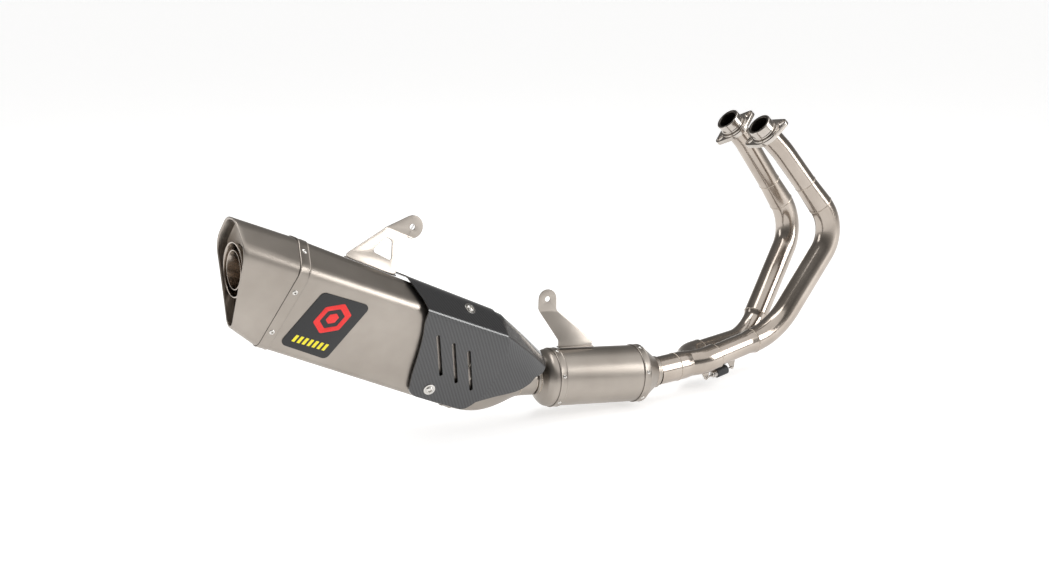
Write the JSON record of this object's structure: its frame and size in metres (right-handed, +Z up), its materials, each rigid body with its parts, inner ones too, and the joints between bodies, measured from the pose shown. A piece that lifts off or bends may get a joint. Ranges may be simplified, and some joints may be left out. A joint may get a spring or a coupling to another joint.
{
  "type": "motorcycle racing exhaust system",
  "caption": "Racing exhaust with twin header pipes, collector, round resonator and a hexagonal tapered muffler with slash-cut outlet, mounting brackets and carbon heat shield.",
  "frame": {"origin": "midway between the two exhaust port faces", "axes": "+X forwards, +Y to the rider's left, +Z up"},
  "size_m": [1.0475, 0.2764, 0.423],
  "materials": {
    "stainless": "polished stainless tube",
    "titanium": "satin warm grey titanium sheet",
    "bracket_sheet": "fine brushed sheet",
    "carbon": "clear-coated twill carbon fibre",
    "rubber": "matt black",
    "label": null,
    "packing_wool": "glass wool",
    "spring_steel": "bright wire",
    "fastener": "bright"
  },
  "bodies": {
    "system": {"collector": "stainless", "link_pipe": "stainless", "resonator_front_cone": "titanium", "resonator_shell": "titanium", "resonator_front_band": "titanium", "resonator_rear_band": "titanium", "resonator_rear_cap": "titanium", "resonator_core": "stainless", "resonator_packing": "packing_wool", "resonator_outlet_spigot": "stainless", "resonator_bracket": "bracket_sheet", "right_collector_spring_lug": "stainless", "right_collector_spring": "spring_steel", "right_spring_damper": "rubber", "left_collector_spring_lug": "stainless", "left_collector_spring": "spring_steel", "left_spring_damper": "rubber"},
    "muffler": {"muffler_outlet_ring": "stainless", "muffler_core": "stainless", "muffler_inlet_tube": "titanium", "muffler_inlet_cap": "titanium", "muffler_sleeve": "titanium", "muffler_front_band": "titanium", "muffler_rear_band": "titanium", "muffler_outlet_cap": "titanium", "muffler_outlet_plate": "titanium", "muffler_outlet_dish": "titanium", "muffler_bracket": "bracket_sheet", "muffler_packing": "packing_wool", "heat_shield_main": "carbon", "heat_shield_cone": "carbon", "heat_shield_lower_screw": "fastener", "heat_shield_lower_spacer": "rubber", "heat_shield_upper_screw": "fastener", "heat_shield_upper_spacer": "rubber", "muffler_side_label": "label"},
    "right_header": {"right_port_collar": "stainless", "right_header_primary": "stainless", "right_header_step": "stainless", "right_header_main": "stainless", "right_header_tail": "stainless", "right_header_spring_lug": "stainless"},
    "left_header": {"left_port_collar": "stainless", "left_header_primary": "stainless", "left_header_step": "stainless", "left_header_main": "stainless", "left_header_tail": "stainless", "left_header_spring_lug": "stainless"},
    "right_flange": {"right_header_flange": "stainless"},
    "left_flange": {"left_header_flange": "stainless"}
  },
  "joints": [
    {"name": "right_header_slip", "type": "slide", "parent": "system", "child": "right_header", "axis": [0.9753, 0.1482, 0.1638], "range_m": [0, 0.022], "deforming": ["right_collector_spring"]},
    {"name": "left_header_slip", "type": "slide", "parent": "system", "child": "left_header", "axis": [0.9486, 0.3162, 0.0158], "range_m": [0, 0.022], "deforming": ["left_collector_spring"]},
    {"name": "right_flange_turn", "type": "hinge", "parent": "right_header", "child": "right_flange", "pos_m": [0, -0.044, 0], "axis": [0.7193, 0, -0.6947], "continuous": true},
    {"name": "left_flange_turn", "type": "hinge", "parent": "left_header", "child": "left_flange", "pos_m": [0, 0.044, 0], "axis": [0.7193, 0, -0.6947], "continuous": true},
    {"name": "muffler_slip", "type": "slide", "parent": "system", "child": "muffler", "axis": [-0.9965, 0, 0.0836], "range_m": [0, 0.022]}
  ]
}
